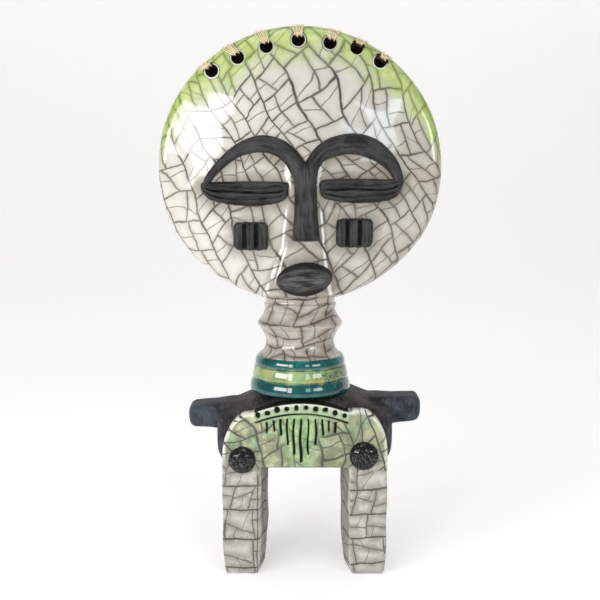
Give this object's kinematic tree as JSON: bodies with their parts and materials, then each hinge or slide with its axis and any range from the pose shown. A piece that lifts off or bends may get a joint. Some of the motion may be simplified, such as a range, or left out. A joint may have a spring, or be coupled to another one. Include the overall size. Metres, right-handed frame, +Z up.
{
  "type": "ashanti fertility doll",
  "caption": "Standing akuaba figure in raku-fired clay: flat disc head on a ringed neck, stub arms, glazed apron and square legs, with raffia ties at the crown.",
  "frame": {"origin": "on the ground, below the middle of the doll's width and depth", "axes": "+Z up, the face looks along -Y, +X to the right as the viewer sees the face"},
  "size_m": [0.1562, 0.0633, 0.301],
  "materials": {
    "raku_clay": "glossy crackle glaze over a smoke-blackened fired clay, with matt black parts",
    "raffia": "matt"
  },
  "bodies": {
    "root": {"doll": "raku_clay", "raffia_tie_1": "raffia", "raffia_tie_2": "raffia", "raffia_tie_3": "raffia", "raffia_tie_4": "raffia", "raffia_tie_5": "raffia", "raffia_tie_6": "raffia", "raffia_tie_7": "raffia"}
  },
  "joints": []
}
